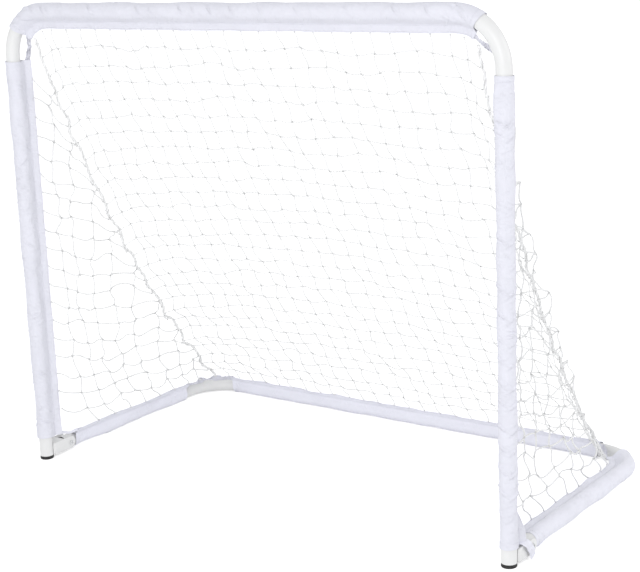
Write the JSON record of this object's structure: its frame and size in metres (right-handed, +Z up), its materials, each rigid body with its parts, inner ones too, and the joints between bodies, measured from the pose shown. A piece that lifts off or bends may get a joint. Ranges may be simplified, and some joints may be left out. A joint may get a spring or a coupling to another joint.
{
  "type": "lacrosse goal",
  "caption": "Youth lacrosse goal: bent steel tube front frame and a U-shaped base that folds up against it, fabric sleeves and a knotted net.",
  "frame": {"origin": "middle of the goal's footprint on the ground", "axes": "+Z up, +X to the right for someone who stands in front of the mouth and looks in, the mouth faces -Y and the base reaches back to +Y"},
  "size_m": [1.2844, 0.6676, 1.0689],
  "materials": {
    "enamel": "white powder coat, satin",
    "steel": "zinc plated, dull",
    "rubber": "black, matt",
    "fabric": "white woven polyester, slight sheen",
    "webbing": "white binding tape",
    "twine": "white knotted polyester twine",
    "cord": "white laced seam cord"
  },
  "bodies": {
    "front_frame": {"left_post_tube": "enamel", "right_post_tube": "enamel", "crossbar_tube": "enamel", "top_left_snap_button": "steel", "top_right_snap_button": "steel", "left_hinge_bracket": "enamel", "right_hinge_bracket": "enamel", "left_hinge_rivet": "steel", "right_hinge_rivet": "steel", "left_foot_cap": "rubber", "right_foot_cap": "rubber", "crossbar_sleeve": "fabric", "left_post_sleeve": "fabric", "right_post_sleeve": "fabric", "top_left_corner_tape": "fabric", "top_right_corner_tape": "fabric", "back_net": "twine", "left_side_net": "twine", "right_side_net": "twine", "left_border_cord": "cord", "right_border_cord": "cord", "left_lower_tie": "webbing", "right_lower_tie": "webbing"},
    "base_frame": {"left_base_tube": "enamel", "right_base_tube": "enamel", "rear_bar_tube": "enamel", "rear_left_snap_button": "steel", "rear_right_snap_button": "steel", "left_base_sleeve": "fabric", "right_base_sleeve": "fabric", "rear_bar_sleeve": "fabric", "rear_left_corner_tape": "fabric", "rear_right_corner_tape": "fabric"}
  },
  "joints": [
    {"name": "fold", "type": "hinge", "parent": "front_frame", "child": "base_frame", "pos_m": [0, -0.2515, 0.022], "axis": [1, 0, 0], "range_deg": [0, 90], "deforming": ["back_net", "left_side_net", "right_side_net", "left_border_cord", "right_border_cord", "left_lower_tie", "right_lower_tie"]}
  ]
}
